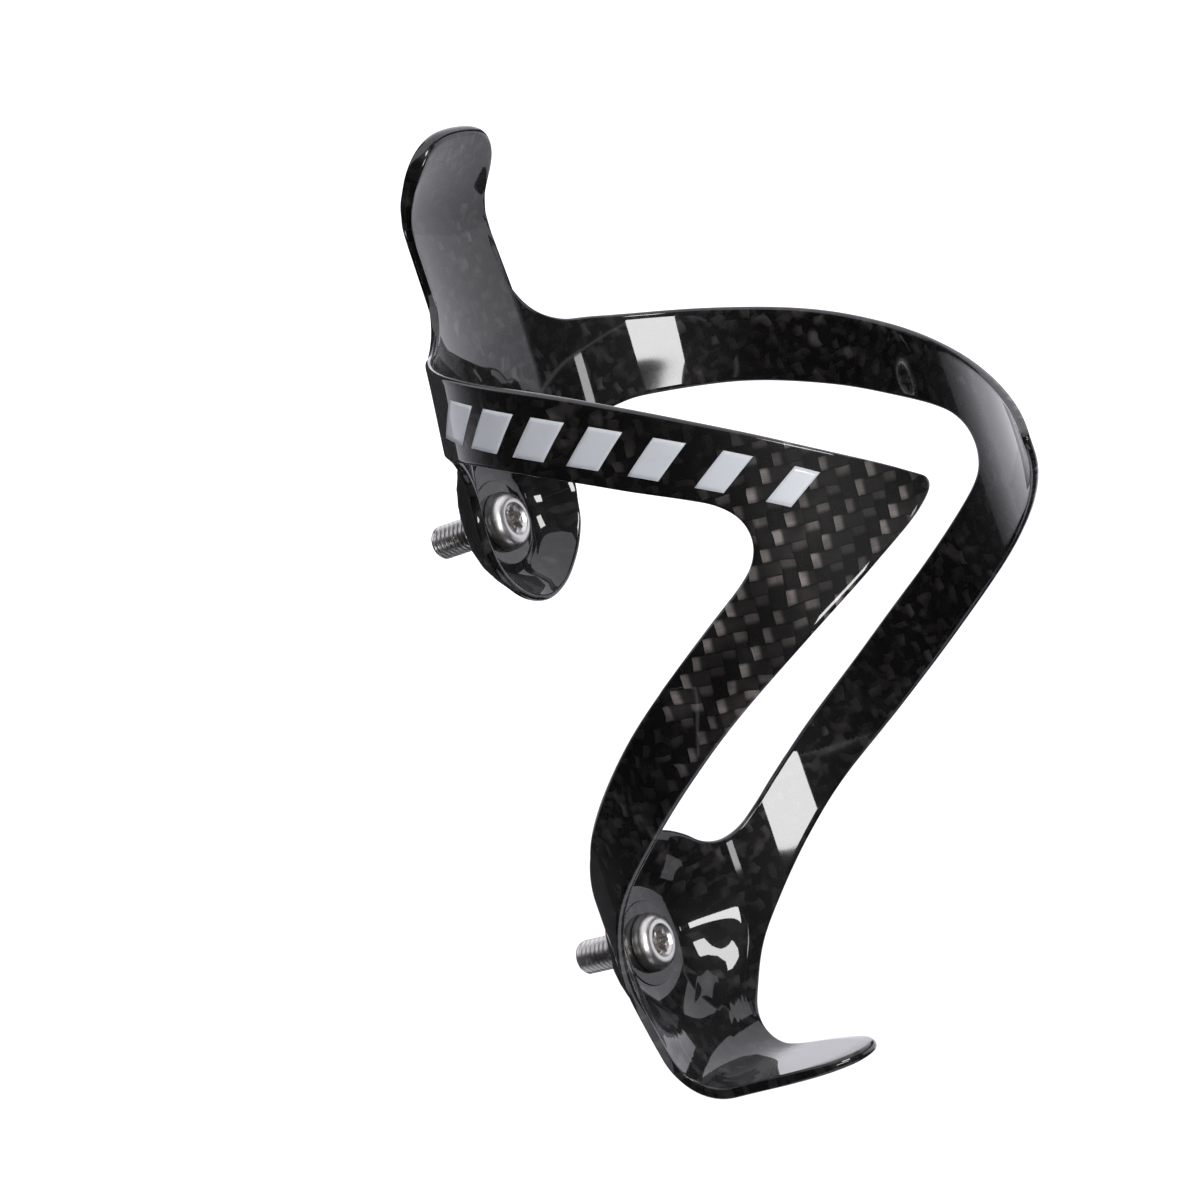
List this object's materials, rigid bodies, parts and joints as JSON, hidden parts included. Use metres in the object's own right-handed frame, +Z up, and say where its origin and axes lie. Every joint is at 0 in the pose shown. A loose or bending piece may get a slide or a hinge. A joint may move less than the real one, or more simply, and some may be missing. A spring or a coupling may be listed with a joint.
{
  "type": "water bottle cage",
  "caption": "Laminated bicycle bottle cage: curved arms wrap the bottle from a cupped back, with a leaning upper tab and a foot below, bolted to the frame's bosses.",
  "frame": {"origin": "midway between the two frame bolts, on the plane where the pads meet the frame's bosses", "axes": "+Z up the bottle's axis towards the upper tab, +Y into the frame tube along the bolts, X across the bottle; -Y is the open front"},
  "size_m": [0.0748, 0.0877, 0.1409],
  "materials": {
    "laminate": "clear-coated carbon fibre weave, high gloss",
    "stainless": "turned stainless steel, semi-bright",
    "decal_film": "printed white film under clear coat"
  },
  "bodies": {
    "root": {"cage_body": "laminate", "upper_bolt": "stainless", "lower_bolt": "stainless", "left_decal": "decal_film", "right_decal": "decal_film"}
  },
  "joints": []
}
